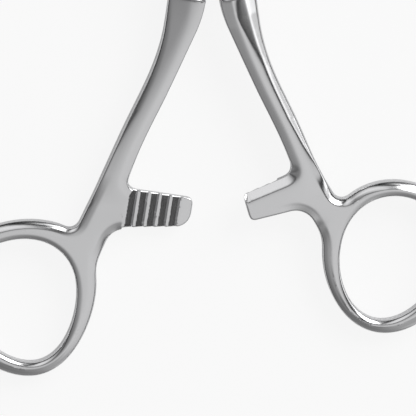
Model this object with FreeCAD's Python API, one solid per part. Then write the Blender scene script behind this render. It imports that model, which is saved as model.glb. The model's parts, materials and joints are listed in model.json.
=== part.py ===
import FreeCAD, Part
import math
import os

from FreeCAD import Vector

# Tongue forceps: two crossing halves on a screw joint, finger rings with ratchet arms at one
# end and fenestrated gripping loops at the other. Millimetres and degrees.
# The halves are drawn closed, with the screw's axis as Z through (0, 0), the jaws towards +Y
# and the drawn handle on +X. Each half is then turned open and the instrument is laid down.

# Opening and closing
half_opening = 8.8            # each half's turn from closed to the resting pose
opening_travel = 42.0         # how much further the handles open from rest

# Lap joint and its screw
boss_radius = 7.7             # round cheek of each half at the joint
joint_half_thickness = 3.2
lap_clearance = 1.4           # room round a cheek, so that the edges pass when fully open
lap_radius = boss_radius + lap_clearance   # round recess in which the other half turns
cheek_margin = 3.0            # how far the flat cheeks reach past the lap
lap_gap = 0.05                # each lap face's distance from the middle plane
crotch_gap = 0.12             # inner edges' distance from the middle line when closed
crotch_rounding = 0.4
screw_head_radius = 3.6
screw_head_height = 1.6
screw_head_stand = 0.25       # how far the head stands above its cheek
screw_head_bevel = 0.3
screw_neck_radius = 2.1
screw_thread_radius = 1.7
screw_running_gap = 0.05
slot_width = 0.8
slot_depth = 0.8

# Shanks: their edges between the joint and the rings, as distance from the middle line
shoulder_width = 0.13         # how far the shank's and jaw's shoulders stand out past the cheek
shoulder_reach = 2.2
shank_outer_edge = [(7.75, -16.9), (9.07, -25.7), (12.38, -36.7), (15.4, -47.6)]
shank_inner_edge = [(1.95, -18.8), (5.29, -30.4), (8.1, -39.3), (9.7, -45.6)]
shank_half_thickness = 2.75
shank_thick_at = -34.0
edge_bevel = 0.85

arm_corner = edge_bevel + 0.1   # small corners stay wider than the bevel that runs round them
handle_split = -66.0          # where the ring's bevels meet the shank's

# Finger rings: an oval hole and an oval outer edge, x = a cos t (1 + egg sin t), y = b sin t
ring_half_thickness = 2.0
ring_thin_from = -62.0
ring_end = -100.0


class Side:
    """The sizes in which one half's handle differs from the other's."""


right = Side()
right.hole_centre = (27.7, -69.33)
right.hole_half_width = 11.1
right.hole_half_length = 13.47
right.hole_lean = -23.1
right.hole_egg = 0.13
right.rim_centre = (27.86, -69.2)
right.rim_half_width = 14.83
right.rim_half_length = 16.51
right.rim_lean = -20.5
right.rim_egg = 0.10
right.web_inner = [(12.6, -58.5), (14.8, -69.0)]
right.web_outer = (19.6, -58.2)
right.notch_rounding = 2.2
right.arm_top = [(-0.6, -50.6), (7.45, -48.6)]
right.arm_bottom = [(-0.75, -56.45), (8.1, -55.7)]
right.arm_tip = -1.1
right.arm_tip_lean = 8.0
right.arm_lower_corner = arm_corner
right.arm_upper_root = 2.2
right.arm_lower_root = 4.5
right.recess_centre = (-4.6, -53.5)
right.first_wall = 4.6
right.tooth_count = 3

left = Side()
left.hole_centre = (28.46, -77.85)
left.hole_half_width = 11.94
left.hole_half_length = 13.37
left.hole_lean = -26.0
left.hole_egg = 0.216
left.rim_centre = (28.72, -77.45)
left.rim_half_width = 16.6
left.rim_half_length = 16.72
left.rim_lean = -23.8
left.rim_egg = 0.229
left.web_inner = [(12.6, -61.5), (14.4, -73.0)]
left.web_outer = (21.0, -66.0)
left.notch_rounding = 2.2
left.arm_top = [(-3.4, -51.2), (8.6, -51.1)]
left.arm_bottom = [(-3.3, -57.4), (9.0, -59.3)]
left.arm_tip = -4.1
left.arm_tip_lean = 0.0
left.arm_lower_corner = 3.2
left.arm_upper_root = 2.2
left.arm_lower_root = 4.5
left.recess_centre = (-1.6, -56.5)
left.first_wall = 7.7
left.tooth_count = 5

# Ratchet
arm_half_thickness = 2.35     # the handle's half thickness where the arms leave it
arm_thick_at = -52.0
arm_crest_gap = 0.1           # each arm's crests from the middle plane
arm_root_reach = 4.5          # how far past its root point an arm's edge meets the shank
tooth_pitch = 2.28
tooth_depth = 0.95
tooth_crest = 0.45
tip_land_drop = 0.25
recess_radius = 12.0          # round end of the recess in front of an arm
root_blend = 8.0              # where the shank's inner edge runs into the ring's rim

# Jaws: their edges from the joint to the grip, as distance from the middle line
jaw_outer_edge = [(8.6, 15.0), (10.9, 25.0), (12.0, 34.0), (10.5, 44.5), (6.2, 54.0)]
jaw_inner_edge = [(2.5, 16.4), (6.2, 25.4), (8.0, 34.5), (6.5, 43.8), (2.2, 52.5)]
jaw_half_thickness = 2.4
jaw_thick_at = 28.0
grip_gap = 0.15               # each grip face from the middle line when closed
grip_thickness = 3.3
loop_start = 51.0
loop_half_length = 15.0
loop_centre = loop_start + loop_half_length
grip_start = loop_start + 7.0   # where the bowed arm has straightened into the grip
loop_half_width = 8.0
loop_rim_end = 3.6            # width of the loop's rim at its ends and sides
loop_rim_side = 3.4
window_half_length = loop_half_length - loop_rim_end
window_half_width = loop_half_width - loop_rim_side
loop_neck_rounding = 9.0
serration_pitch = 1.5
serration_depth = 0.45

FAR = 120.0                   # reach of the cutting and trimming blocks


def pnt(x, y, z=0.0):
    return Vector(x, y, z)


def spline(points, start_way=None, end_way=None):
    """A smooth edge in the plan through (x, y) points, with its end directions if given."""
    curve = Part.BSplineCurve()
    if start_way and end_way:
        curve.interpolate(Points=[pnt(*p) for p in points],
                          InitialTangent=pnt(*start_way), FinalTangent=pnt(*end_way))
    else:
        curve.interpolate([pnt(*p) for p in points])
    return curve.toShape()


def line(start, end):
    return Part.makeLine(pnt(*start), pnt(*end))


def prism(edges, height):
    """The closed outline made a block from -height to +height."""
    face = Part.Face(Part.Wire(Part.__sortEdges__(edges)))
    face.translate(pnt(0, 0, -height))
    return face.extrude(pnt(0, 0, 2 * height))


def polygon_prism(points, height):
    corners = list(points) + [points[0]]
    return prism([line(a, b) for a, b in zip(corners, corners[1:])], height)


def oval_prism(centre, half_width, half_length, lean, egg, height, count=16):
    """A leaning egg-shaped oval: half width swells with egg towards +Y."""
    tilt = math.radians(lean)
    points = []
    for k in range(count):
        t = 2 * math.pi * k / count
        x = half_width * math.cos(t) * (1 + egg * math.sin(t))
        y = half_length * math.sin(t)
        points.append(pnt(centre[0] + x * math.cos(tilt) - y * math.sin(tilt),
                          centre[1] + x * math.sin(tilt) + y * math.cos(tilt)))
    curve = Part.BSplineCurve()
    curve.interpolate(points, PeriodicFlag=True)
    return prism([curve.toShape()], height)


def upright_edges(solid, test):
    """The solid's straight edges along Z whose (x, y) place passes the test."""
    found = []
    for edge in solid.Edges:
        a, b = edge.Vertexes[0].Point, edge.Vertexes[-1].Point
        if abs(a.x - b.x) < 1e-4 and abs(a.y - b.y) < 1e-4 and abs(a.z - b.z) > 1e-3:
            if test(a.x, a.y):
                found.append(edge)
    return found


def round_upright(solid, radius, test):
    edges = upright_edges(solid, test)
    return solid.makeFillet(radius, edges) if edges else solid


def near(x, y, reach=1.5):
    return lambda u, v: math.hypot(u - x, v - y) < reach


def shank_block(side, height):
    """The band between the shank's two edges, from the joint into the ring's web."""
    shoulder = (boss_radius + shoulder_width, -boss_radius - shoulder_reach)
    outer = [(boss_radius, 0.0), shoulder] + shank_outer_edge + [side.web_outer]
    inner = [(crotch_gap, -lap_radius)] + shank_inner_edge + side.web_inner
    web = (outer[-1][0] - outer[-2][0], outer[-1][1] - outer[-2][1])
    inside = (crotch_gap, -0.5 * boss_radius)
    return prism([spline(outer, (0, -1), web), line(outer[-1], inner[-1]),
                  spline(inner, (0, -1), (0, -1)), line(inner[0], inside),
                  line(inside, (0.0, 0.0)), line((0.0, 0.0), outer[0])], height)


def arm_block(side, height):
    """The ratchet arm's plan: top and bottom lines and a leaning, rounded tip."""
    (x0, y0), (x1, y1) = side.arm_top
    (u0, v0), (u1, v1) = side.arm_bottom
    root = x1 + 5.0
    lean = math.tan(math.radians(side.arm_tip_lean))

    def top(x):
        return y0 + (y1 - y0) * (x - x0) / (x1 - x0)

    def bottom(x):
        return v0 + (v1 - v0) * (x - u0) / (u1 - u0)
    upper_x, lower_x = side.arm_tip - lean, side.arm_tip + lean * 4
    block = polygon_prism([(upper_x, top(upper_x)), (root, top(root)), (root, bottom(root)),
                           (lower_x, bottom(lower_x))], height)
    block = round_upright(block, arm_corner, near(upper_x, top(upper_x), 0.5))
    return round_upright(block, side.arm_lower_corner, near(lower_x, bottom(lower_x), 0.5))


def jaw_block(height):
    """The bowed band of the jaw, on -X, from the joint to its square tip."""
    tip = loop_centre + loop_half_length + 1.0
    grip_outer = grip_gap + grip_thickness
    inside = (-crotch_gap, 0.5 * boss_radius)
    shoulder = (-boss_radius - shoulder_width, boss_radius + shoulder_reach)
    outer = [(-boss_radius, 0.0), shoulder] + [(-x, y) for x, y in jaw_outer_edge]
    outer += [(-grip_outer, grip_start + 1.0)]
    inner = [(-crotch_gap, lap_radius)] + [(-x, y) for x, y in jaw_inner_edge]
    inner += [(-grip_gap, grip_start)]
    return prism([spline(outer, (0, 1), (0, 1)), line(outer[-1], (-grip_outer, tip)),
                  line((-grip_outer, tip), (-grip_gap, tip)),
                  line((-grip_gap, tip), inner[-1]), spline(inner, (0, 1), (0, 1)),
                  line(inner[0], inside), line(inside, (0.0, 0.0)),
                  line((0.0, 0.0), outer[0])], height)


def plan_block(side):
    """The half's whole plan, as a tall block with its corners rounded."""
    height = loop_half_width + 2.0
    rim = oval_prism(side.rim_centre, side.rim_half_width, side.rim_half_length,
                     side.rim_lean, side.rim_egg, height)
    hole = oval_prism(side.hole_centre, side.hole_half_width, side.hole_half_length,
                      side.hole_lean, side.hole_egg, height + 1.0)
    boss = Part.makeCylinder(boss_radius, 2 * height, pnt(0, 0, -height))
    plan = shank_block(side, height).fuse([arm_block(side, height), rim, boss,
                                           jaw_block(height)]).removeSplitter()
    for x, y in ((crotch_gap, -boss_radius), (-crotch_gap, boss_radius)):
        plan = round_upright(plan, crotch_rounding, near(x, y, 0.3))
    root_x, root_y = side.arm_top[1]
    half_reach = 0.5 * arm_root_reach
    plan = round_upright(plan, side.arm_upper_root, near(root_x + half_reach, root_y, 2.5))
    foot_y = side.arm_bottom[1][1]
    plan = round_upright(plan, side.arm_lower_root, near(root_x + arm_root_reach, foot_y, 2.5))
    plan = round_upright(plan, root_blend,
                         lambda x, y: 13.2 < x < 15.5 and side.web_inner[1][1] < y < foot_y - 3)
    plan = round_upright(plan, side.notch_rounding,
                         lambda x, y: 17.0 < x < 24.0 and y > side.rim_centre[1] + 12.0)
    return plan.cut(hole)


def profile_line(points, sign):
    """The side profile's smooth edge through (y, z) points, level at both ends."""
    curve = Part.BSplineCurve()
    curve.interpolate(Points=[pnt(0, y, sign * z) for y, z in points],
                      InitialTangent=pnt(0, 1, 0), FinalTangent=pnt(0, 1, 0))
    return curve.toShape()


def side_block():
    """The half seen from its side: thick at the joint, thin at the ring, a loop at the jaw."""
    cheek_end = lap_radius + cheek_margin
    handle = [(ring_end, ring_half_thickness), (ring_thin_from, ring_half_thickness),
              (arm_thick_at, arm_half_thickness), (shank_thick_at, shank_half_thickness),
              (-cheek_end, joint_half_thickness)]
    jaw = [(cheek_end, joint_half_thickness),
           (jaw_thick_at, 0.5 * (joint_half_thickness + jaw_half_thickness)),
           (loop_start, jaw_half_thickness), (loop_centre, jaw_half_thickness)]
    edges = []
    for sign in (1, -1):
        cheek = [pnt(0, y, sign * joint_half_thickness) for y in (-cheek_end, cheek_end)]
        edges += [profile_line(handle, sign), Part.makeLine(*cheek), profile_line(jaw, sign)]
    for y, z in (handle[0], jaw[-1]):
        edges.append(Part.makeLine(pnt(0, y, -z), pnt(0, y, z)))
    face = Part.Face(Part.Wire(Part.__sortEdges__(edges)))

    def oval(half_length, half_width):
        ellipse = Part.Ellipse(pnt(0, 0, 0), half_length, half_width)
        shape = Part.Face(Part.Wire(ellipse.toShape()))
        shape.rotate(pnt(0, 0, 0), pnt(0, 0, 1), 90)
        shape.rotate(pnt(0, 0, 0), pnt(0, 1, 0), 90)
        shape.translate(pnt(0, loop_centre, 0))
        return shape
    width = 2 * FAR
    blank = face.extrude(pnt(width, 0, 0)).fuse(
        oval(loop_half_length, loop_half_width).extrude(pnt(width, 0, 0))).removeSplitter()
    corners = []
    for edge in blank.Edges:
        a, b = edge.Vertexes[0].Point, edge.Vertexes[-1].Point
        crosswise = math.hypot(a.y - b.y, a.z - b.z) < 1e-4
        if crosswise and jaw_thick_at < a.y < loop_centre - 1.0:
            corners.append(edge)
    blank = blank.makeFillet(loop_neck_rounding, corners)
    blank = blank.cut(oval(window_half_length, window_half_width).extrude(pnt(width, 0, 0)))
    blank.translate(pnt(-FAR, 0, 0))
    return blank


def outline_edges(solid, planes):
    """The solid's edges round its outline and holes, without upright or crosswise ones."""
    edges = []
    for edge in solid.Edges:
        a, b = edge.Vertexes[0].Point, edge.Vertexes[-1].Point
        m = edge.valueAt(0.5 * (edge.FirstParameter + edge.LastParameter))
        upright = math.hypot(a.x - b.x, a.y - b.y) < 1e-4 < abs(a.z - b.z)
        crosswise = math.hypot(a.y - b.y, a.z - b.z) < 1e-4 < abs(a.x - b.x)
        on_plane = any(max(abs(q.y - y) for q in (a, b, m)) < 1e-3 for y in planes)
        if not upright and not crosswise and not on_plane:
            edges.append(edge)
    return edges


def slab(low, high):
    return Part.makeBox(2 * FAR, high - low, 2 * FAR, pnt(-FAR, low, -FAR))


def bevelled_stretch(block, low, high):
    """The part of the block from y = low to y = high, with its outline edges bevelled."""
    stretch = block.common(slab(low, high))
    return stretch.makeChamfer(edge_bevel, outline_edges(stretch, (low, high)))


def recess_and_teeth(side, facing):
    """What is milled away over an arm: facing is 1 for teeth towards +Z and -1 for -Z."""
    x, y = side.recess_centre
    recess = Part.makeCylinder(recess_radius, FAR, pnt(x, y, -arm_crest_gap))
    cutters = []
    reach = 8.0
    for k in range(side.tooth_count):
        wall = side.first_wall - k * tooth_pitch
        slope = tooth_pitch - tooth_crest
        cutters.append([(wall, 0.0), (wall, -tooth_depth), (wall + slope, 0.0)])
    last = side.first_wall - (side.tooth_count - 1) * tooth_pitch - tooth_crest
    cutters.append([(last, 0.0), (side.arm_tip - 2.0, 0.0), (side.arm_tip - 2.0, -tip_land_drop)])
    solids = [recess]
    for triangle in cutters:
        corners = [pnt(u, y - reach, w - arm_crest_gap) for u, w in triangle]
        face = Part.Face(Part.makePolygon(corners + [corners[0]]))
        solids.append(face.extrude(pnt(0, 2 * reach, 0)))
    if facing < 0:
        solids = [s.mirror(pnt(0, 0, 0), pnt(0, 0, 1)) for s in solids]
    return solids


def half_block(side, facing):
    """One half, closed: handle on +X, jaw on -X, with the lap, ratchet and serrations cut."""
    block = plan_block(side).common(side_block())
    joint_end = lap_radius + 0.5 * cheek_margin
    bounds = [-FAR, handle_split, -joint_end, joint_end, loop_start - 1.0, FAR]
    stretches = [bevelled_stretch(block, a, b) for a, b in zip(bounds, bounds[1:])]
    half = stretches[0].fuse(stretches[1:])
    half = half.cut(recess_and_teeth(side, facing))
    lap = Part.makeCylinder(lap_radius, FAR, pnt(0, 0, -lap_gap))
    if facing < 0:
        lap = lap.mirror(pnt(0, 0, 0), pnt(0, 0, 1))
    return half.cut([lap] + serrations())


def serrations():
    """V grooves along Z across the grip face, one pitch apart."""
    grooves = []
    face_x, deep_x = -grip_gap + 0.5 * serration_depth, -grip_gap - serration_depth
    start = loop_centre - loop_half_length + serration_pitch
    count = int((2 * loop_half_length - 2 * serration_pitch) / serration_pitch) + 1
    for k in range(count):
        y = start + k * serration_pitch
        if y < grip_start + serration_pitch:
            continue
        wide = 0.45 * serration_pitch
        corners = [pnt(deep_x, y, -FAR), pnt(face_x, y - wide, -FAR), pnt(face_x, y + wide, -FAR)]
        face = Part.Face(Part.makePolygon(corners + [corners[0]]))
        grooves.append(face.extrude(pnt(0, 0, 2 * FAR)))
    return grooves


def joint_screw():
    """Slotted cheese-head screw, head on the +Z cheek, riveted over on the -Z cheek."""
    seat = joint_half_thickness + screw_head_stand - screw_head_height
    head = Part.makeCylinder(screw_head_radius, screw_head_height, pnt(0, 0, seat))
    top_z = seat + screw_head_height
    rim = [e for e in head.Edges if abs(e.BoundBox.ZMin - top_z) < 1e-4
           and abs(e.BoundBox.ZMax - top_z) < 1e-4]
    head = head.makeChamfer(screw_head_bevel, rim)
    slot = Part.makeBox(FAR, slot_width, FAR, pnt(-FAR / 2, -slot_width / 2, top_z - slot_depth))
    neck = Part.makeCylinder(screw_neck_radius, seat + lap_gap, pnt(0, 0, -lap_gap))
    low = -joint_half_thickness
    thread = Part.makeCylinder(screw_thread_radius, -lap_gap - low, pnt(0, 0, low))
    return head.cut(slot).fuse([neck, thread]).removeSplitter()


def screw_holes_front():
    """Room for the head and neck in the half that turns on the screw."""
    seat = joint_half_thickness + screw_head_stand - screw_head_height - screw_running_gap
    head = Part.makeCylinder(screw_head_radius + screw_running_gap, FAR, pnt(0, 0, seat))
    neck = Part.makeCylinder(screw_neck_radius + screw_running_gap, 2 * FAR, pnt(0, 0, -FAR))
    return [head, neck]


def resting_tilt():
    """The angle at which loops and rings touch the table together."""
    tilt = 0.0
    ring_y = right.rim_centre[1] - right.rim_half_length
    for _ in range(8):
        s, c = math.sin(tilt), math.cos(tilt)
        loop_low = loop_centre * s - math.hypot(loop_half_length * s, loop_half_width * c)
        ring_low = ring_y * s - ring_half_thickness * c
        tilt += math.asin((ring_low - loop_low) / (loop_centre - ring_y))
    return tilt


def main():
    os.makedirs("parts", exist_ok=True)
    right_half = half_block(right, -1).cut(screw_holes_front())
    left_half = half_block(left, 1).mirror(pnt(0, 0, 0), pnt(1, 0, 0))
    left_half = left_half.cut(Part.makeCylinder(screw_thread_radius, 2 * FAR, pnt(0, 0, -FAR)))
    shapes = {"right_half": right_half, "left_half": left_half, "joint_screw": joint_screw()}
    tilt = math.degrees(resting_tilt())
    turns = {"right_half": half_opening, "left_half": -half_opening, "joint_screw": -half_opening}
    for name, shape in shapes.items():
        shape.rotate(pnt(0, 0, 0), pnt(0, 0, 1), turns[name])
        shape.rotate(pnt(0, 0, 0), pnt(1, 0, 0), tilt)
    boxes = [s.optimalBoundingBox(False, False) for s in shapes.values()]
    low = pnt(min(b.XMin for b in boxes), min(b.YMin for b in boxes), min(b.ZMin for b in boxes))
    high = pnt(max(b.XMax for b in boxes), max(b.YMax for b in boxes), max(b.ZMax for b in boxes))
    shift = pnt(-0.5 * (low.x + high.x), -0.5 * (low.y + high.y), -low.z)
    for name, shape in shapes.items():
        shape.translate(shift)
        shape.exportStep("parts/" + name + ".step")
        print(name, "solids", len(shape.Solids), "valid", shape.isValid(),
              "volume %.1f" % shape.Volume)
    print("pivot at", [round(v, 4) for v in (shift.x, shift.y, shift.z)], "tilt %.4f" % tilt)
    print("size", [round(v, 3) for v in (high.x - low.x, high.y - low.y, high.z - low.z)])
    both = shapes["left_half"].common(shapes["right_half"])
    print("overlap of the halves %.4f" % both.Volume)


main()
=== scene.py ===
# %% [markdown]
# Tongue forceps, seen from above on a white table
# A pair of ring-handled steel forceps lies open. The CAD model gives three pieces: two halves
# that cross on a joint, and the slotted screw that holds them. This lesson dresses each piece
# in a smooth steel surface, lights it in a plain studio and sets the camera. The CAD pieces are
# loaded first.

# %% Load the imported CAD model
import json
import math

import bmesh
import bpy
import numpy as np
from mathutils import Matrix, Vector
from mathutils.geometry import delaunay_2d_cdt


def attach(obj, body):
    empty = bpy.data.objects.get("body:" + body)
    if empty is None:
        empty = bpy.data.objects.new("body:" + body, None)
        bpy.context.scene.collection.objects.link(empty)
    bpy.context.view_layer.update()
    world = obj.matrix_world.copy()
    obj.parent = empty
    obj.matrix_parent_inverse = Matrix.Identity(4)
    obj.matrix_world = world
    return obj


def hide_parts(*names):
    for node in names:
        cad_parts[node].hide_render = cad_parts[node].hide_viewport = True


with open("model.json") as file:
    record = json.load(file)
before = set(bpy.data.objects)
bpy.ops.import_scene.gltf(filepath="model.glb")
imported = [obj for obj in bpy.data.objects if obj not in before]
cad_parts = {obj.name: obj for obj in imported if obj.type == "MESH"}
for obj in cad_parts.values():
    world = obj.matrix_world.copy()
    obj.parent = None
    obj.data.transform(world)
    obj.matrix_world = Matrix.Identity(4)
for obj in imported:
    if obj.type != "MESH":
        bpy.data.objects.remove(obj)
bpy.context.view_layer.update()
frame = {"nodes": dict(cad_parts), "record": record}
joint = frame["record"]["behaviour"]["joints"][0]
print("joint:", joint)

# %% [markdown]
# Where things are
# The joint's axis leans a little, because the rings and the gripping loops both rest on the
# table. Every piece could be placed in world coordinates, with that lean in each number. A small
# frame of its own, with the pivot as its centre and the axis as its Z, keeps the lean in one
# matrix instead, and the rest of the script is flat drawings.

# %% The joint's own frame
pivot = Vector(joint["pos_m"])
hinge_axis = Vector(joint["axis"])
lean = Vector((0, 0, 1)).rotation_difference(hinge_axis)
joint_frame = Matrix.Translation(pivot) @ lean.to_matrix().to_4x4()
print("joint frame:", joint_frame)

# %% [markdown]
# The halves
# Each half is one steel forging: a shank with a soft ridge and bevelled edges, an arm with ratchet
# teeth and a ring bar with narrow polished bevels. The CAD piece has the right plan and thickness,
# with plain bevels. One could sculpt the rest, or bevel and subdivide the CAD mesh, but both lose
# the crisp lines of ground steel. So the handle gets a new skin: its plan is read from the CAD
# piece, and the height of each side over that plan is a formula of how far a point is from the
# edges. The joint and the jaw, past a seam, are a merged copy of the CAD piece.

# %% A half's drawing: closed, handle on +X, in millimetres
OPENING = math.radians(-joint["range_deg"][0] / 2)   # how far each half is turned from closed
MM = 0.001


def drawing_to_world(side):
    """Mirror for the left half (side -1), turn it open, then lay it in the joint's frame."""
    turned = joint_frame @ Matrix.Rotation(side * OPENING, 4, "Z")
    return turned @ Matrix.Diagonal((side, 1, 1, 1)) @ Matrix.Diagonal((MM, MM, MM, 1))


def carried(points, matrix):
    """Each row (x, y, z) of the array carried by a 4 x 4 matrix."""
    m = np.array(matrix)
    return points @ m[:3, :3].T + m[:3, 3]


def drawn_triangles(node, side):
    """A CAD piece's corner points in the drawing, equal ones joined, and its triangles."""
    mesh = frame["nodes"][node].data
    places = np.empty(len(mesh.vertices) * 3)
    mesh.vertices.foreach_get("co", places)
    corners = np.empty(len(mesh.polygons) * 3, dtype=int)
    mesh.polygons.foreach_get("vertices", corners)
    places = carried(places.reshape(-1, 3), drawing_to_world(side).inverted())
    _, first, same = np.unique(np.round(places, 3), axis=0, return_index=True, return_inverse=True)
    return places[first], same.reshape(-1)[corners].reshape(-1, 3)


print("each half is turned open by", round(math.degrees(OPENING), 2), "degrees")

# %% [markdown]
# Reading the plan
# The plan could be typed in again as a list of points. It is already in the CAD mesh, so the mesh
# is cut at one height instead: each triangle with corners on both sides of the cut gives one
# short step, and the steps are linked end to end into closed lines.

# %% Where a mesh crosses one height
def crossing_steps(places, triangles, height):
    """Points (x, y) on the mesh's edges at z = height, and pairs of their numbers, one a triangle."""
    above = places[:, 2] > height
    used = triangles[(above[triangles].sum(1) % 3) > 0]
    ends = np.stack([used, np.roll(used, -1, 1)], 2)
    cut = above[ends[:, :, 0]] != above[ends[:, :, 1]]
    pairs = np.sort(ends[cut].reshape(-1, 2, 2), 2)
    low, high = places[pairs[..., 0]], places[pairs[..., 1]]
    share = (height - low[..., 2]) / (high[..., 2] - low[..., 2])
    crossing = (low + share[..., None] * (high - low))[..., :2]
    keys = pairs[..., 0] * len(places) + pairs[..., 1]
    names, number = np.unique(keys, return_inverse=True)
    number = number.reshape(-1, 2)
    where = np.empty((len(names), 2))
    where[number.reshape(-1)] = crossing.reshape(-1, 2)
    return where, number


def crossing_loops(places, triangles, height):
    """Closed lines on the surface at z = height, each an array of (x, y), the longest first."""
    where, number = crossing_steps(places, triangles, height)
    steps = {}
    for a, b in number.tolist():
        steps.setdefault(a, []).append(b)
        steps.setdefault(b, []).append(a)
    loops = []
    while steps:
        start = next(iter(steps))
        loop, here, before = [], start, None
        while here in steps:
            loop.append(here)
            ways = [w for w in steps.pop(here) if w != before]
            before, here = here, next((w for w in ways if w in steps), start)
        loops.append(where[loop])
    return sorted(loops, key=len, reverse=True)


# %% Even points along a line
SPACING = 0.3        # between the outline's points
LEAST_STEPS = 8
SOFTENINGS = 4


def evenly(line, spacing, closed):
    """Points at an even spacing along a line, each then moved halfway to its neighbours' middle."""
    path = np.vstack([line, line[:1]]) if closed else line
    length = np.append(0, np.cumsum(np.hypot(*np.diff(path, axis=0).T)))
    count = max(LEAST_STEPS, int(length[-1] / spacing))
    marks = np.linspace(0, length[-1], count + 1)
    made = np.column_stack([np.interp(marks, length, path[:, k]) for k in (0, 1)])
    made = made[:-1] if closed else made
    for _ in range(SOFTENINGS):
        soft = 0.25 * np.roll(made, 1, 0) + 0.5 * made + 0.25 * np.roll(made, -1, 0)
        made = soft if closed else np.vstack([made[:1], soft[1:-1], made[-1:]])
    return made


def signed_area(ring):
    """Half the sum of the cross products of neighbours: positive where the ring runs leftwards."""
    after = np.roll(ring, -1, 0)
    return 0.5 * float((ring[:, 0] * after[:, 1] - ring[:, 1] * after[:, 0]).sum())


# %% The handle's outline
SEAM = -9.2          # where the skin meets the joint's copy, along the drawing's Y
SLICE = 1.1          # height of the slice, between the teeth's roots and the ring's bevels


def handle_outline(places, triangles, facing):
    """The outer line from the seam's outer corner round to its inner corner, and the ring's hole."""
    loops = crossing_loops(places, triangles, -facing * SLICE)
    outer = loops[0]
    inside = outer[:, 1] < SEAM
    start = int(np.flatnonzero(inside & ~np.roll(inside, 1))[0])
    outer, inside = np.roll(outer, -start, 0), np.roll(inside, -start)
    stop = int(np.flatnonzero(~inside)[0])
    run, before, after = outer[:stop], outer[-1], outer[stop]
    first = before + (run[0] - before) * (SEAM - before[1]) / (run[0][1] - before[1])
    last = after + (run[-1] - after) * (SEAM - after[1]) / (run[-1][1] - after[1])
    chain = np.vstack([first, run, last])
    if chain[0, 0] < chain[-1, 0]:
        chain = chain[::-1]
    hole = next(l for l in loops[1:] if l[:, 1].max() < SEAM)
    chain, hole = evenly(chain, SPACING, False), evenly(hole, SPACING, True)
    return chain, hole if signed_area(hole) < 0 else hole[::-1]


left_outline = handle_outline(*drawn_triangles("left_half", -1), 1)
print("the left handle's outline and hole have", [len(line) for line in left_outline], "points")

# %% [markdown]
# Distances
# Bevels, ridges and rounds all follow an edge, so their heights depend on one thing: how far a
# point is from that edge. An edge is a line of short straight steps, and the distance to it is
# the least of the distances to its steps. Points are taken a block at a time, which keeps the
# arrays small.

# %% Distance, inside and a soft step
def distance(points, line, block=1500):
    """Each point's shortest distance to a line of straight steps, a block of points at a time."""
    start, step = line[:-1], np.diff(line, axis=0)
    size = np.maximum((step ** 2).sum(1), 1e-12)
    best = np.empty(len(points))
    for k in range(0, len(points), block):
        gap = points[k:k + block, None] - start
        share = np.clip((gap * step).sum(2) / size, 0, 1)
        best[k:k + block] = np.sqrt(((gap - share[..., None] * step) ** 2).sum(2).min(1))
    return best


def enclosed(points, ring, block=4000):
    """True where a point lies inside a closed line: its level ray crosses the line an odd count."""
    start, end = ring, np.roll(ring, -1, 0)
    found = np.empty(len(points), dtype=bool)
    for k in range(0, len(points), block):
        x, y = points[k:k + block, 0, None], points[k:k + block, 1, None]
        spans = (start[:, 1] > y) != (end[:, 1] > y)
        rise = np.where(end[:, 1] == start[:, 1], 1.0, end[:, 1] - start[:, 1])
        cross = start[:, 0] + (y - start[:, 1]) * (end[:, 0] - start[:, 0]) / rise
        found[k:k + block] = (spans & (x < cross)).sum(1) % 2 == 1
    return found


def smooth(value, low, high):
    """0 below low, 1 above high and a soft S between."""
    t = np.clip((value - low) / (high - low), 0, 1)
    return t * t * (3 - 2 * t)


print("soft step at 0, a half and 1:", smooth(np.array([0.0, 0.5, 1.0]), 0, 1))

# %% [markdown]
# Heights
# A forged and ground shank isn't flat. From its inner edge a narrow bevel rises to a soft ridge,
# then the face falls away to the outer edge, more and more towards the joint, and ends in a
# second bevel. The ring's bar has two bevels on each edge, wide and deep on the side towards the
# jaws and faint elsewhere. Each of these is a drop from the forging's thickness, and a table
# says how wide or steep it is at each place along the handle. Tables are easy to tune against a
# photograph: one number changes one place.

# %% Thickness along the handle
HALF_THICKNESS = ((-100, 2.0), (-62, 2.0), (-52, 2.35), (-34, 2.75), (-15, 3.2), (0, 3.2))  # (y, mm)
THICKNESS_STEP = 0.5
THICKNESS_BLEND = 6          # steps on each side of the average


def table_value(y, rows):
    """The table's second column at y, straight between its rows."""
    return np.interp(y, [r[0] for r in rows], [r[1] for r in rows])


def thickness_line():
    """Half thickness against y: straight between the named places, then averaged twice."""
    y = np.arange(-105.0, 0.0, THICKNESS_STEP)
    heights = table_value(y, HALF_THICKNESS)
    count = 2 * THICKNESS_BLEND + 1
    for _ in range(2):
        padded = np.pad(heights, THICKNESS_BLEND, "edge")
        heights = np.convolve(padded, np.full(count, 1 / count), "valid")
    return y, heights


def soft_rise(reach, soft):
    """Grows with reach where it is positive and is nearly 0 elsewhere, with a soft bend between."""
    return 0.5 * (reach + np.sqrt(reach ** 2 + soft ** 2))


print("half thickness at the arms:", round(float(np.interp(-52, *thickness_line())), 2), "mm")

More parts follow.
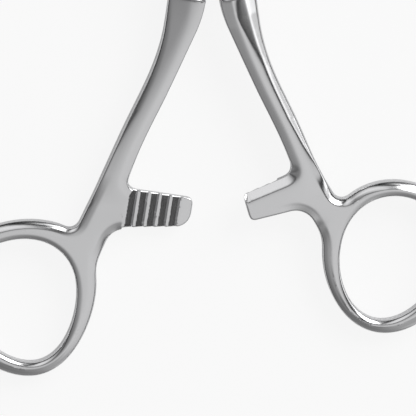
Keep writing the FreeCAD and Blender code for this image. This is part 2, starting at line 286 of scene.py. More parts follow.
# %% The shank's face and bevels, by side: 1 is the right half and -1 the left
INNER_BEVEL = ((-80, 1.5), (-22, 1.8), (-15, 2.2), (-10, 3.2))                 # (y, width in mm)
INNER_BEVEL_SOFT = 0.6
INNER_BEVEL_SLOPE = {1: 15.0, -1: 7.0}                                         # degrees
RIDGE = {1: ((-30, 0.3), (-10, 0.3)), -1: ((-44, 0.3), (-25, 0.0), (-10, -0.15))}   # share of width
FACE_SLOPE = ((-56, 0), (-50, 7), (-42, 11), (-30, 15), (-20, 18), (-10, 20))  # (y, degrees)
FULL_SLOPE = {1: ((-24, 0.7), (-13, 0.04)), -1: ((-24, 0.7), (-10, 0.5))}  # the part where it grows
OUTER_BEVEL = {
    1: ((-48, 0.0), (-42, 1.0), (-36, 1.6), (-22, 1.25), (-16, 1.7), (-10, 2.3)),
    -1: ((-46, 0.0), (-40, 0.6), (-34, 1.2), (-20, 1.0), (-14, 0.8), (-10, 0.5)),
}
OUTER_BEVEL_SOFT = 0.25
OUTER_BEVEL_FULL = 0.5       # width from which the bevel has its full slope
OUTER_BEVEL_SLOPE = ((-46, 25), (-34, 21), (-20, 17), (-10, 16))               # (y, degrees)


def slope_of(degrees):
    """Height over length of a slope given in degrees."""
    return np.tan(np.radians(degrees))


def shank_drop(y, near, side):
    """Inner bevel + the face's fall past the ridge + outer bevel, each slope x soft distance."""
    width = near["inner"] + near["outer"]
    ridge = table_value(y, RIDGE[side])
    across = np.clip((near["inner"] / width - ridge) / (1 - ridge), 0, 1)
    full = table_value(y, FULL_SLOPE[side])
    grown = np.where(across < full, across ** 2 / (2 * full), across - full / 2)
    fall = slope_of(table_value(y, FACE_SLOPE)) * width * (1 - ridge) * grown
    outer_width = table_value(y, OUTER_BEVEL[side])
    outer = soft_rise(outer_width - near["outer"], OUTER_BEVEL_SOFT)
    inner = soft_rise(table_value(y, INNER_BEVEL) - near["inner"], INNER_BEVEL_SOFT)
    outer_slope = slope_of(table_value(y, OUTER_BEVEL_SLOPE))
    outer_slope = outer_slope * np.minimum(outer_width / OUTER_BEVEL_FULL, 1)
    return fall + outer_slope * outer + slope_of(INNER_BEVEL_SLOPE[side]) * inner


print("the face falls by", FACE_SLOPE[-1][1], "degrees near the joint")

# %% The ring's bevels
RING_BEVELS = ((1.75, 0.53), (0.8, 0.47))     # (width in mm, slope), added up
RING_BEVEL_SOFT = 0.12
HOLE_SIDE = 0.6              # the bevels' width on the hole's side, as a share
LEAST_DEPTH, MORE_UPWARDS, LESS_RIGHTWARDS = 0.45, 0.55, 0.6
FACES_UP = (0.1, 0.8)        # how much an edge faces the jaws, from no effect to full
FACES_RIGHT = (0.2, 0.8)


def ring_drop(near):
    """Slope x soft distance for two bevels on each edge, deep towards the jaws, shallow rightwards."""
    upwards = LEAST_DEPTH + MORE_UPWARDS * smooth(near["up"], *FACES_UP)
    strength = upwards * (1 - LESS_RIGHTWARDS * smooth(near["right"], *FACES_RIGHT))
    share = np.where(near["hole"] > near["edge"], 1.0, HOLE_SIDE)
    return strength * sum(slope * soft_rise(share * width - near["edge"], RING_BEVEL_SOFT)
                          for width, slope in RING_BEVELS)


print("the ring's bevels together are", round(math.degrees(math.atan(sum(b[1] for b in RING_BEVELS)))),
      "degrees steep at the edge")

# %% The round at every edge
EDGE_ROUND = ((-56, 0.3), (-49, 0.4), (-9.5, 0.4), (-9.2, 0.85))              # (y, radius in mm)
INNER_EDGE_ROUND = ((-56, 0.3), (-49, 0.3), (-44, 0.12), (-9.5, 0.12), (-9.2, 0.85))
INNER_THIRD = (0.3, 0.7)     # share of the width over which one radius becomes the other


def edge_drop(y, near, apart):
    """A quarter circle at each edge, radius x (1 - root of 1 - depth squared), flat at the seam."""
    inward = 1 - smooth(near["inner"] / (near["inner"] + near["outer"]), *INNER_THIRD)
    radius = table_value(y, EDGE_ROUND) * (1 - inward) + table_value(y, INNER_EDGE_ROUND) * inward
    depth = np.clip(1 - near["edge"] / radius, 0, 1)
    round_edge = radius * (1 - np.sqrt(1 - depth ** 2))
    flat_edge = np.maximum(0, radius - near["edge"])
    return round_edge * apart + flat_edge * (1 - apart)


print("edge radii in mm:", sorted({row[1] for row in EDGE_ROUND + INNER_EDGE_ROUND}))

# %% Heights of the plain side
SHOULDER = 0.3               # length over which the shank drops from the joint's cheek
BAR = (3.4, 5.0)             # distance from the hole over which the ring's bar becomes the shank
CROOK_WIDTH = (2.2, 3.0)     # the ring's bevels run on along the crook above the ring
CROOK_UP = (0.35, 0.7)
CROOK_BELOW = (48, 55)
ARM_SLOPE_FOOT = 1.12        # height at which the front arm's sloped top meets its edge
ARM_SLOPE = 33.0             # degrees
ARM_CREASE_SOFT = 0.06
LEAST_HEIGHT = 0.15


def plain_height(plan, near, side):
    """Thickness less the edge's round, the shank's drop and the ring's, under the arm's slope."""
    y = plan[:, 1]
    apart = smooth(-y, -SEAM, -SEAM + SHOULDER)        # nothing is added at the seam
    half = np.interp(y, *thickness_line())
    bar = 1 - smooth(near["hole"], *BAR)
    edge = edge_drop(y, near, apart)
    height = half - edge - apart * (1 - bar) * shank_drop(y, near, side)
    crook = 1 - smooth(near["edge"], *CROOK_WIDTH)
    crook = crook * smooth(near["up"], *CROOK_UP) * smooth(-y, *CROOK_BELOW)
    height = height - np.maximum(bar, crook) * ring_drop(near)
    if side > 0:
        slope = ARM_SLOPE_FOOT + slope_of(ARM_SLOPE) * near["arm top"]
        height = 0.5 * (height + slope - np.sqrt((height - slope) ** 2 + ARM_CREASE_SOFT))
    return np.maximum(height, LEAST_HEIGHT)


print("the front arm's top slopes by", ARM_SLOPE, "degrees")

# %% [markdown]
# Ratchet teeth
# In front of each arm the forging is milled down in a round ended recess to just short of the
# middle plane, and saw teeth are cut across the arm there: a wall, then a long slope up to the
# next crest. Boolean cuts would do it too, but they leave long thin faces that shade badly. Here
# the teeth are heights as well, and rows of points a hair apart stand on both sides of each wall,
# so it comes out sharp.

# %% Heights of the toothed side
CREST_GAP = 0.1
TOOTH = dict(pitch=2.28, depth=0.62, crest=0.5, land=0.25)
LAND_RUN = 2.0               # the tip's land would reach its full drop this far past the tip
RECESS_RADIUS = 12.0
SMALL_ROUND = 0.22
ARMS = {
    1: dict(recess=(-4.6, -53.5), first=4.6, count=3, tip=-1.1),
    -1: dict(recess=(-1.6, -56.5), first=7.7, count=5, tip=-4.1),
}


def tooth_walls(arm):
    """The x of each wall: the first, less a whole number of pitches."""
    return arm["first"] - TOOTH["pitch"] * np.arange(arm["count"])


def toothed_height(plan, near, arm):
    """Crest height, less a ramp that falls to each wall, the tip's land and a small round edge."""
    x = plan[:, 0]
    walls = tooth_walls(arm)
    slope = TOOTH["pitch"] - TOOTH["crest"]
    past = x[:, None] - walls
    ramp = np.where((past > 0) & (past < slope), TOOTH["depth"] * (1 - past / slope), 0).max(1)
    last = walls[-1] - TOOTH["crest"]
    land = TOOTH["land"] * np.clip((last - x) / (last - arm["tip"] + LAND_RUN), 0, 1)
    depth = np.clip(1 - near["edge"] / SMALL_ROUND, 0, 1)
    return -CREST_GAP - ramp - land - SMALL_ROUND * (1 - np.sqrt(1 - depth ** 2))


def both_heights(plan, near, side):
    """The plain side's height, and the toothed side's: the lower of plain and milled in the recess."""
    arm = ARMS[side]
    plain = plain_height(plan, near, side)
    milled = toothed_height(plan, near, arm)
    reach = np.hypot(plan[:, 0] - arm["recess"][0], plan[:, 1] - arm["recess"][1])
    return plain, np.where((reach < RECESS_RADIUS) & (milled < plain), milled, plain)


for side, arm in ARMS.items():
    print("side", side, "has tooth walls at x =", [round(float(x), 2) for x in tooth_walls(arm)])

# %% [markdown]
# Points over the plan
# A regular grid alone would cut across the bevels and give ragged highlights. So rows of points
# run along the edges, close together on the round and over the bevels, the teeth and the recess
# get rows of their own, and an even grid fills the rest, finer near the joint.

# %% Rows along the edges
BEVEL = 0.85                                  # depth of the last row of the round
ROUND_STEPS = np.radians([15, 30, 45, 60, 75, 90])
BEVEL_STEPS = np.arange(1.08, 2.4, 0.23)      # rows further in, which follow the ring's bevels
DEPTHS = np.append(BEVEL * (1 - np.cos(ROUND_STEPS)), BEVEL_STEPS)
KEPT_DEPTH = 0.97                             # a row's point stays where no other edge is nearer


def edge_rows(chain, hole, to_edge):
    """The outline and the hole moved inwards along their normals by each depth."""
    rows = []
    for line, closed in ((chain, False), (hole, True)):
        ways = np.gradient(line, axis=0)
        if closed:
            ways = np.roll(line, -1, 0) - np.roll(line, 1, 0)
        ways /= np.hypot(*ways.T)[:, None]
        normals = np.column_stack([-ways[:, 1], ways[:, 0]])
        for depth in DEPTHS:
            for sign in (1, -1):
                moved = line + sign * depth * normals
                rows.append(moved[to_edge(moved) > KEPT_DEPTH * depth])
    return rows


print(len(DEPTHS), "rows, the last one", round(float(DEPTHS[-1]), 2), "mm from the edge")

# %% An even grid, and rows at the creases
GRID = 0.42
FINE_GRID = 0.22             # near the joint, where the ridge is sharp
FINE_FROM = -20.0
HAIR = 0.015
CREASE_SPACING = 0.25
RECESS_TURN = 1.2            # radians, on both sides of the recess's middle
TEETH_SPAN = (-62.0, -48.0)
PAST_CREST = 0.12
BEFORE_WALL = 0.2


def even_grid(low, high):
    """Points every GRID mm, each second row moved by half a step, and finer ones near the joint."""
    x, y = np.meshgrid(np.arange(low[0], high[0], GRID), np.arange(low[1], high[1], GRID))
    x = x + 0.5 * GRID * (np.arange(x.shape[0]) % 2)[:, None]
    grid = np.column_stack([x.ravel(), y.ravel()])
    x, y = np.meshgrid(np.arange(low[0], high[0], FINE_GRID), np.arange(FINE_FROM, SEAM, FINE_GRID))
    joint_grid = np.column_stack([x.ravel(), y.ravel()])
    return np.vstack([grid[grid[:, 1] < FINE_FROM], joint_grid])


def crease_points(arm):
    """Two arcs a hair apart at the recess's round end, and straight rows beside each tooth wall."""
    bend = np.arange(-RECESS_TURN, RECESS_TURN, CREASE_SPACING / RECESS_RADIUS)
    creases = [np.column_stack([arm["recess"][0] + r * np.cos(bend), arm["recess"][1] + r * np.sin(bend)])
               for r in (RECESS_RADIUS - HAIR, RECESS_RADIUS + HAIR)]
    cross = np.arange(*TEETH_SPAN, CREASE_SPACING)
    slope = TOOTH["pitch"] - TOOTH["crest"]
    for wall in tooth_walls(arm):
        for place in (wall - HAIR, wall + HAIR, wall + slope, wall + slope + PAST_CREST,
                      wall - BEFORE_WALL):
            creases.append(np.column_stack([np.full(len(cross), place), cross]))
    return np.vstack(creases)


print("the left arm has", len(crease_points(ARMS[-1])), "crease points")

# %% All the points
GRID_CLEARANCE = 0.12        # from the last row
CREASE_CLEARANCE = 0.04      # from the edge
SEAM_CLEARANCE = 0.05


def plan_points(chain, hole, arm):
    """Outline first, then the rows along the edges, an even grid and both sides of every wall."""
    seam_count = int(abs(chain[0, 0] - chain[-1, 0]) / SPACING)
    seam = np.linspace(chain[-1], chain[0], seam_count + 1)[1:-1]
    ring = np.vstack([chain, seam])
    edge_lines = [chain, np.vstack([hole, hole[:1]])]

    def to_edge(points):
        return np.minimum(*[distance(points, line) for line in edge_lines])

    grid = even_grid(chain.min(0), chain.max(0))
    grid = grid[to_edge(grid) > DEPTHS[-1] + GRID_CLEARANCE]
    fine = crease_points(arm)
    fine = fine[to_edge(fine) > CREASE_CLEARANCE]
    free = np.vstack(edge_rows(chain, hole, to_edge) + [grid, fine])
    body = enclosed(free, ring) & ~enclosed(free, hole) & (free[:, 1] < SEAM - SEAM_CLEARANCE)
    return ring, np.vstack([ring, hole, free[body]])


left_ring, left_points = plan_points(*left_outline, ARMS[-1])
print("the left handle's plan has", len(left_points), "points")

# %% [markdown]
# The skin
# The points are joined by a Delaunay triangulation that keeps the outline and the hole as edges.
# It makes the fattest triangles it can, and those shade most evenly. Each point is then lifted to
# the front's height and lowered to the back's, and a wall closes the gap along the outline.

# %% Triangles over the plan
def triangulated(ring, hole, points):
    """Plan, anticlockwise triangles, each point's number in the plan, and the edges to be walled."""
    n, h = len(ring), len(hole)
    loop = [(k, (k + 1) % n) for k in range(n)] + [(n + k, n + (k + 1) % h) for k in range(h)]
    made = delaunay_2d_cdt([Vector(p) for p in points], loop, [], 0, 1e-6)
    plan = np.array([tuple(v) for v in made[0]])
    faces = np.array([f for f in made[2] if len(f) == 3])
    place = {old: new for new, olds in enumerate(made[3]) for old in olds}
    middle = plan[faces].mean(1)
    faces = faces[enclosed(middle, ring) & ~enclosed(middle, hole)]
    a, b, c = plan[faces[:, 0]], plan[faces[:, 1]], plan[faces[:, 2]]
    turn = (b - a)[:, 0] * (c - a)[:, 1] - (b - a)[:, 1] * (c - a)[:, 0]
    return plan, np.where((turn > 0)[:, None], faces, faces[:, ::-1]), place, loop


left_plan, left_faces = triangulated(left_ring, left_outline[1], left_points)[:2]
print("the left handle's plan has", len(left_faces), "triangles")

# %% Named distances
RING_BELOW = -56.0           # along Y: the shank's outer edge ends here
SHANK_FROM = -49.0           # and its inner edge begins here
WEB_RIGHT = 15.5             # the web's inner side lies left of this
WEB_SPAN = (-76.0, -60.0)
ARM_END = (-51.0, -48.0)     # the arm's end and its top corner, along Y
ARM_ROOT = -47.6             # where the front arm's sloped top ends, along Y
TIP_CORNER = 0.3             # the sloped top begins this far past the arm's end


def edge_distances(plan, chain, hole, side):
    """Distance of each point to each named run of the outline, and which way its edge faces."""
    order = np.arange(len(chain))
    lowest = int(np.argmin(chain[:, 1]))
    out_end = int(np.argmax(chain[:, 1] < RING_BELOW))
    arm_top = int(np.flatnonzero(chain[:, 1] < SHANK_FROM)[-1])
    web = (chain[:, 0] < WEB_RIGHT) & (chain[:, 1] > WEB_SPAN[0]) & (chain[:, 1] < WEB_SPAN[1])
    near = {
        "hole": distance(plan, np.vstack([hole, hole[:1]])),
        "outer": distance(plan, chain[:out_end]),
        "inner": np.minimum(distance(plan, chain[arm_top:]), distance(plan, chain[web & (order > lowest)])),
    }
    outline = distance(plan, chain)
    near["edge"] = np.minimum(near["hole"], outline)
    arm_part = (chain[:, 1] < ARM_END[1]) & (chain[:, 1] > ARM_END[0]) & (order > lowest)
    end = int(np.flatnonzero(arm_part)[np.argmin(chain[arm_part, 0])])
    tip = end + int(np.flatnonzero(chain[end:, 0] > chain[end, 0] + TIP_CORNER)[0])
    root = tip + int(np.flatnonzero(chain[tip:, 1] > ARM_ROOT)[0])
    near["arm top"] = distance(plan, chain[tip:root])
    away = plan - hole.mean(0)
    away *= (np.where(near["hole"] < outline, -1, 1) / np.hypot(*away.T))[:, None]
    cos, sin = math.cos(OPENING), math.sin(OPENING)
    near["right"] = side * (cos * away[:, 0] - sin * away[:, 1])
    near["up"] = sin * away[:, 0] + cos * away[:, 1]
    return near


left_near = edge_distances(left_plan, *left_outline, -1)
print("furthest from any edge:", round(float(left_near["edge"].max()), 2), "mm")

# %% Skin one handle
def handle_skin(node, side, facing):
    """Triangles over the plan, lifted to both heights, with a wall along the outline and hole."""
    places, triangles = drawn_triangles(node, side)
    chain, hole = handle_outline(places, triangles, facing)
    ring, points = plan_points(chain, hole, ARMS[side])
    plan, faces, place, loop = triangulated(ring, hole, points)
    near = edge_distances(plan, chain, hole, side)
    plain, milled = both_heights(plan, near, side)
    front, back = (milled, plain) if facing > 0 else (plain, milled)
    count = len(plan)
    solid = np.vstack([np.column_stack([plan, front]), np.column_stack([plan, -back])])
    walls = [(place[a] + count, place[b] + count, place[b], place[a]) for a, b in loop
             if a < len(chain) - 1 or a >= len(ring)]
    faces = [tuple(f) for f in faces.tolist()] + [tuple(f[::-1]) for f in (faces + count).tolist()]
    faces += walls
    if side < 0:
        faces = [f[::-1] for f in faces]
    mesh = bpy.data.meshes.new(node + "_skin")
    mesh.from_pydata(carried(solid, drawing_to_world(side)), [], faces)
    print(node, "outline has", len(chain), "points, skin has", len(faces), "faces")
    return mesh


skins = {"right_half": handle_skin("right_half", 1, -1), "left_half": handle_skin("left_half", -1, 1)}

# %% [markdown]
# Joint and jaw
# The joint and the jaw keep the CAD piece's own form. Its mesh is loose triangles, so a copy is
# merged before it is cut at the seam. Smooth shading with sharp edges past an angle keeps faces
# flat and corners crisp, and a weighted normal modifier lets the large faces decide the shading.

# %% Join the skin to the joint and jaw
SKIN_SHARP = 36              # degrees between faces, past which an edge stays sharp
CAD_SHARP = 50
SCREW_SHARP = 32
MERGE_WITHIN = 2e-6          # metres


def sharpen(mesh, degrees):
    """Smooth shading everywhere but at edges past an angle."""
    mesh.polygons.foreach_set("use_smooth", np.ones(len(mesh.polygons), dtype=bool))
    mesh.set_sharp_from_angle(angle=math.radians(degrees))


def merged_copy(node):
    """A copy of a CAD piece's mesh with equal corners joined."""
    mesh = frame["nodes"][node].data.copy()
    bm = bmesh.new()
    bm.from_mesh(mesh)
    bmesh.ops.remove_doubles(bm, verts=bm.verts, dist=MERGE_WITHIN)
    bm.to_mesh(mesh)
    bm.free()
    return mesh


def past_seam(mesh, side):
    """The mesh cut at the seam, with only the joint and the jaw kept."""
    matrix = drawing_to_world(side)
    bm = bmesh.new()
    bm.from_mesh(mesh)
    geometry = bm.verts[:] + bm.edges[:] + bm.faces[:]
    bmesh.ops.bisect_plane(bm, geom=geometry, plane_co=matrix @ Vector((0, SEAM, 0)),
                           plane_no=(matrix.to_3x3() @ Vector((0, 1, 0))).normalized(),
                           clear_inner=True)
    bm.to_mesh(mesh)
    bm.free()


def placed(name, mesh):
    """The mesh as an object with its shading weighed by face size."""
    piece = bpy.data.objects.new(name, mesh)
    bpy.context.scene.collection.objects.link(piece)
    weigh = piece.modifiers.new("even shading", "WEIGHTED_NORMAL")
    weigh.keep_sharp = True
    return piece


def forged_half(node, side):
    """One object of the handle's skin and the CAD piece's joint and jaw."""
    skin, rest = skins[node], merged_copy(node)
    past_seam(rest, side)
    sharpen(skin, SKIN_SHARP)
    sharpen(rest, CAD_SHARP)
    bm = bmesh.new()
    bm.from_mesh(skin)
    bm.from_mesh(rest)
    bm.to_mesh(skin)
    bm.free()
    print(node, "steel has", len(skin.polygons), "faces")
    return placed(node + "_steel", skin)


# %% Make the three pieces
screw_mesh = merged_copy("joint_screw")
sharpen(screw_mesh, SCREW_SHARP)
pieces = {
    "right_half": forged_half("right_half", 1),
    "left_half": forged_half("left_half", -1),
    "joint_screw": placed("joint_screw_steel", screw_mesh),
}
bodies = {"right_half": "right", "left_half": "left", "joint_screw": "left"}
print("pieces:", [piece.name for piece in pieces.values()])

# %% [markdown]
# Steel
# The forging is ground and polished, so its faces mirror the studio a little softly. That is a
# metal with a low roughness and very fine marks. A photographed texture would need unwrapping and
# would show its edges. Noise stretched along the forceps needs neither, and because the screw
# shares it with the halves at other values, it is a node group.

# %% A node group for fine grinding marks
NOISE_DETAIL = 3.0
NOISE_MIDDLE = 0.5


def grinding_marks():
    """Stretched noise in Object coordinates: a height for bump and a small change of roughness."""
    group = bpy.data.node_groups.new("grinding_marks", "ShaderNodeTree")
    face = group.interface
    for label, value in (("Marks per metre", 3000.0), ("Stretch", 0.12), ("Roughness", 0.25),
                         ("Roughness change", 0.06)):
        face.new_socket(label, in_out="INPUT", socket_type="NodeSocketFloat").default_value = value
    for label in ("Height", "Roughness"):
        face.new_socket(label, in_out="OUTPUT", socket_type="NodeSocketFloat")
    nodes, links = group.nodes, group.links
    given, result = nodes.new("NodeGroupInput"), nodes.new("NodeGroupOutput")
    coordinates = nodes.new("ShaderNodeTexCoord")
    stretch = nodes.new("ShaderNodeCombineXYZ")
    stretch.inputs["X"].default_value = 1.0
    stretch.inputs["Z"].default_value = 1.0
    scaled = nodes.new("ShaderNodeVectorMath")
    scaled.operation = "MULTIPLY"
    noise = nodes.new("ShaderNodeTexNoise")
    noise.inputs["Detail"].default_value = NOISE_DETAIL
    change = nodes.new("ShaderNodeMath")
    change.operation = "MULTIPLY_ADD"
    centred = nodes.new("ShaderNodeMath")
    centred.operation = "SUBTRACT"
    centred.inputs[1].default_value = NOISE_MIDDLE
    links.new(given.outputs["Stretch"], stretch.inputs["Y"])
    links.new(coordinates.outputs["Object"], scaled.inputs[0])
    links.new(stretch.outputs["Vector"], scaled.inputs[1])
    links.new(scaled.outputs["Vector"], noise.inputs["Vector"])
    links.new(given.outputs["Marks per metre"], noise.inputs["Scale"])
    links.new(noise.outputs["Fac"], centred.inputs[0])
    links.new(centred.outputs[0], change.inputs[0])
    links.new(given.outputs["Roughness change"], change.inputs[1])
    links.new(given.outputs["Roughness"], change.inputs[2])
    links.new(noise.outputs["Fac"], result.inputs["Height"])
    links.new(change.outputs[0], result.inputs["Roughness"])
    return group


marks = grinding_marks()
print("group sockets:", [item.name for item in marks.interface.items_tree])

# %% Steel materials
def steel(name, colour, roughness, change, mark_height):
    """Metal whose roughness and bump follow the grinding marks."""
    material = bpy.data.materials.new(name)
    material.use_nodes = True
    nodes, links = material.node_tree.nodes, material.node_tree.links
    shader = nodes["Principled BSDF"]
    shader.inputs["Base Color"].default_value = (*colour, 1.0)
    shader.inputs["Metallic"].default_value = 1.0
    grain = nodes.new("ShaderNodeGroup")
    grain.node_tree = marks
    grain.inputs["Roughness"].default_value = roughness
    grain.inputs["Roughness change"].default_value = change
    bump = nodes.new("ShaderNodeBump")
    bump.inputs["Strength"].default_value = 1.0
    bump.inputs["Distance"].default_value = mark_height
    links.new(grain.outputs["Height"], bump.inputs["Height"])
    links.new(bump.outputs["Normal"], shader.inputs["Normal"])
    links.new(grain.outputs["Roughness"], shader.inputs["Roughness"])
    return material


finishes = {
    "satin_steel": steel("ground_steel", (0.76, 0.76, 0.77), 0.16, 0.04, 1e-6),
    "polished_steel": steel("bright_steel", (0.78, 0.78, 0.79), 0.12, 0.03, 5e-7),
}
for node, piece in pieces.items():
    finish = "polished_steel" if node == "joint_screw" else "satin_steel"
    piece.data.materials.clear()
    piece.data.materials.append(finishes[finish])
    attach(piece, bodies[node])
    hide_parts(node)
    print(piece.name, "is", finish, "and rides", bodies[node])

# %% [markdown]
# Camera
# The camera looks almost straight down. It stands a little towards the jaws and a little to the
# left, so that the inner walls of the left ring and the top edge of each arm show. Both angles
# could be eyeballed, but measured points of the photograph, fitted together, give them. The lens
# is long, because the photograph shows almost no perspective.

# %% Set the camera
CAMERA_TOWARDS_JAWS = 11.0     # degrees
CAMERA_TO_THE_LEFT = 4.5       # degrees
CAMERA_DISTANCE = 0.9          # metres
VIEW_WIDTH = 0.0874            # metres across the photograph at the forceps
SENSOR_WIDTH = 36.0            # millimetres
AIM = Vector((-0.00074, -0.05325, 0.0))   # in the joint's frame


def view_axes():
    """The camera's right, up and backward directions in world coordinates."""
    turn = joint_frame.to_3x3()
    back = turn @ Vector((-math.tan(math.radians(CAMERA_TO_THE_LEFT)),
                          math.tan(math.radians(CAMERA_TOWARDS_JAWS)), 1.0)).normalized()
    right = Vector((0, 1, 0)).cross(back).normalized()
    return right, back.cross(right), back


right_way, up_way, back_way = view_axes()
camera_data = bpy.data.cameras.new("camera")
camera = bpy.data.objects.new("camera", camera_data)
bpy.context.scene.collection.objects.link(camera)
turned = Matrix((right_way, up_way, back_way)).transposed().to_4x4()
camera.matrix_world = Matrix.Translation(joint_frame @ AIM + back_way * CAMERA_DISTANCE) @ turned
camera_data.sensor_width = SENSOR_WIDTH
camera_data.lens = SENSOR_WIDTH * CAMERA_DISTANCE / VIEW_WIDTH
camera_data.clip_start, camera_data.clip_end = 0.05, 20.0
bpy.context.scene.camera = camera
print("camera stands at", [round(v, 3) for v in camera.location], "lens", round(camera_data.lens))

# %% [markdown]
# Studio
# Polished metal shows the room it is in, so the studio is made as carefully as the piece. Lamps
# and white cards could stand round the table, but each would have to be moved to see its effect.
# Here the world itself is a soft tent: grey above, a dark gap and then a white panel to the
# right, dark low down on both sides, and a white panel beyond the jaws. Each part of it is a
# colour ramp over an angle from the view. Two ramps run across the shanks, which slant to
# opposite sides, and one runs along the forceps. The three are multiplied.

# %% The ramps of the tent: (degrees from the view, radiance)
TURN = 27.0          # degrees from sideways to square across each shank
ACROSS_RIGHT = ((-110, 0.04), (-90, 0.1), (-76, 0.29), (-60, 0.3), (-40, 0.31), (-32, 0.35),
                (-22, 0.46), (-12, 0.59), (-3, 0.68), (10, 0.7), (16, 0.67), (20, 0.6), (24, 0.35),
                (28, 0.08), (31, 0.03), (37, 0.03), (41, 0.1), (46, 0.5), (50, 1.1), (55, 1.6),
                (70, 1.6), (76, 0.3), (84, 0.08), (100, 0.2))
ACROSS_LEFT = ((-90, 0.1), (-70, 0.25), (-60, 0.5), (-50, 0.72), (-33, 0.8), (-13, 0.86), (8, 0.95),
               (25, 1.0), (60, 1.0))
LENGTHWAYS = ((-120, 1.1), (-80, 1.0), (-60, 0.65), (-45, 0.62), (-37, 0.85), (-28, 1.05), (-10, 1.0),
              (8, 0.9), (13, 0.3), (20, 0.3), (26, 1.0), (31, 1.7), (59, 1.7), (65, 0.1), (100, 0.05))
WORLD_STRENGTH = 1.0
print("ramps have", [len(ramp) for ramp in (ACROSS_RIGHT, ACROSS_LEFT, LENGTHWAYS)], "stops")

# %% The world as a soft tent
SPAN = 120           # each ramp covers this many degrees on both sides of the view


def tent():
    """Radiance = across the right shank x across the left shank x along the forceps."""
    world = bpy.data.worlds.new("tent")
    bpy.context.scene.world = world
    world.use_nodes = True
    nodes, links = world.node_tree.nodes, world.node_tree.links
    background = nodes["Background"]
    coordinates = nodes.new("ShaderNodeTexCoord")

    def along(way):
        """How much a ray goes one way."""
        dot = nodes.new("ShaderNodeVectorMath")
        dot.operation = "DOT_PRODUCT"
        dot.inputs[1].default_value = way
        links.new(coordinates.outputs["Generated"], dot.inputs[0])
        return dot.outputs["Value"]

    depth = along(back_way)

    def ramp(way, stops):
        """Grey at the ray's angle, the arctangent of how much it goes one way over its depth."""
        angle = nodes.new("ShaderNodeMath")
        angle.operation = "ARCTAN2"
        links.new(along(way), angle.inputs[0])
        links.new(depth, angle.inputs[1])
        scaled = nodes.new("ShaderNodeMapRange")
        scaled.inputs["From Min"].default_value = math.radians(-SPAN)
        scaled.inputs["From Max"].default_value = math.radians(SPAN)
        links.new(angle.outputs[0], scaled.inputs["Value"])
        colours = nodes.new("ShaderNodeValToRGB")
        links.new(scaled.outputs["Result"], colours.inputs["Fac"])
        places = colours.color_ramp.elements
        places.remove(places[1])
        for k, (degrees, value) in enumerate(stops):
            position = (degrees + SPAN) / (2 * SPAN)
            place = places[0] if k == 0 else places.new(position)
            place.position = position
            place.color = (value, value, value, 1.0)
        return colours.outputs["Color"]

    def product(first, second):
        """Two colours multiplied; the Mix node's colour sockets are its seventh and eighth."""
        mix = nodes.new("ShaderNodeMix")
        mix.data_type = "RGBA"
        mix.blend_type = "MULTIPLY"
        mix.inputs["Factor"].default_value = 1.0
        links.new(first, mix.inputs[6])
        links.new(second, mix.inputs[7])
        return mix.outputs[2]

    cos, sin = math.cos(math.radians(TURN)), math.sin(math.radians(TURN))
    across = product(ramp(cos * right_way + sin * up_way, ACROSS_RIGHT),
                     ramp(cos * right_way - sin * up_way, ACROSS_LEFT))
    links.new(product(across, ramp(up_way, LENGTHWAYS)), background.inputs["Color"])
    background.inputs["Strength"].default_value = WORLD_STRENGTH
    return world


print("world:", tent().name)

# %% [markdown]
# Table
# The table is plain and white. More lamp light would whiten it too, but the steel would burn out.
# So part of its light for the camera is its own, and it stays white while the soft shadow of the
# forceps still shows. In the steel it is seen with a smaller share of that light, because the
# steel's edges in the photograph mirror a dim table.

# %% The table
FLOOR_SIZE = 6.0
FLOOR_BELOW = 0.0001         # just under the forceps
FLOOR_COLOUR = 0.8
FLOOR_ROUGHNESS = 0.9
FLOOR_OWN_LIGHT = 0.88       # seen straight
FLOOR_LIGHT_IN_METAL = 0.2   # seen in the steel


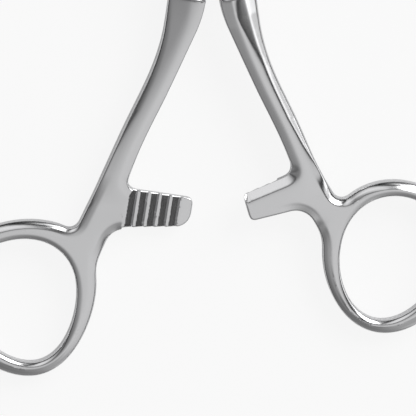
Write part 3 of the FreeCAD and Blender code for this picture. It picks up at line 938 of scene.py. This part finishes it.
def white_table():
    """A square plate just under the forceps, partly lit by itself for camera and mirror rays."""
    half = FLOOR_SIZE / 2
    mesh = bpy.data.meshes.new("table")
    mesh.from_pydata([(-half, -half, 0), (half, -half, 0), (half, half, 0), (-half, half, 0)],
                     [], [(0, 1, 2, 3)])
    mesh.transform(Matrix.Translation((0, 0, -FLOOR_BELOW)))
    table = bpy.data.objects.new("table", mesh)
    bpy.context.scene.collection.objects.link(table)
    material = bpy.data.materials.new("white_table")
    material.use_nodes = True
    nodes, links = material.node_tree.nodes, material.node_tree.links
    shader = nodes["Principled BSDF"]
    shader.inputs["Base Color"].default_value = (FLOOR_COLOUR, FLOOR_COLOUR, FLOOR_COLOUR, 1.0)
    shader.inputs["Roughness"].default_value = FLOOR_ROUGHNESS
    shader.inputs["Specular IOR Level"].default_value = 0.0
    light = nodes.new("ShaderNodeEmission")
    rays = nodes.new("ShaderNodeLightPath")
    straight = nodes.new("ShaderNodeMath")
    straight.operation = "MULTIPLY"
    straight.inputs[1].default_value = FLOOR_OWN_LIGHT
    links.new(rays.outputs["Is Camera Ray"], straight.inputs[0])
    share = nodes.new("ShaderNodeMath")
    share.operation = "MULTIPLY_ADD"
    share.inputs[1].default_value = FLOOR_LIGHT_IN_METAL
    links.new(rays.outputs["Is Glossy Ray"], share.inputs[0])
    links.new(straight.outputs[0], share.inputs[2])
    mixed = nodes.new("ShaderNodeMixShader")
    links.new(share.outputs[0], mixed.inputs["Fac"])
    links.new(shader.outputs["BSDF"], mixed.inputs[1])
    links.new(light.outputs["Emission"], mixed.inputs[2])
    links.new(mixed.outputs[0], nodes["Material Output"].inputs["Surface"])
    mesh.materials.append(material)
    return table


white_table()
print("the table is", FLOOR_SIZE, "metres wide")

# %% [markdown]
# Lamp
# The tent alone gives hardly any shadow. A sun would give a hard one, so one large soft lamp over
# the jaws' end gives the white table a gentle shadow instead.

# %% A soft lamp
LAMP_SIZE = 0.9      # metres
LAMP_POWER = 9.0     # watts
LAMP_PLACE = Vector((0.8, 0.8, 0.75))
lamp_data = bpy.data.lights.new("soft_lamp", "AREA")
lamp_data.shape = "SQUARE"
lamp_data.size = LAMP_SIZE
lamp_data.energy = LAMP_POWER
lamp = bpy.data.objects.new("soft_lamp", lamp_data)
bpy.context.scene.collection.objects.link(lamp)
lamp.location = LAMP_PLACE
lamp.rotation_mode = "QUATERNION"
lamp.rotation_quaternion = (LAMP_PLACE - joint_frame @ AIM).to_track_quat("Z", "Y")
lamp.visible_camera = False
print("lamp of", LAMP_POWER, "watts")

# %% [markdown]
# Finish
# The view stays plain, so that a colour renders about as it is written.

# %% Finish with a plain view
bpy.context.scene.view_settings.view_transform = "Standard"
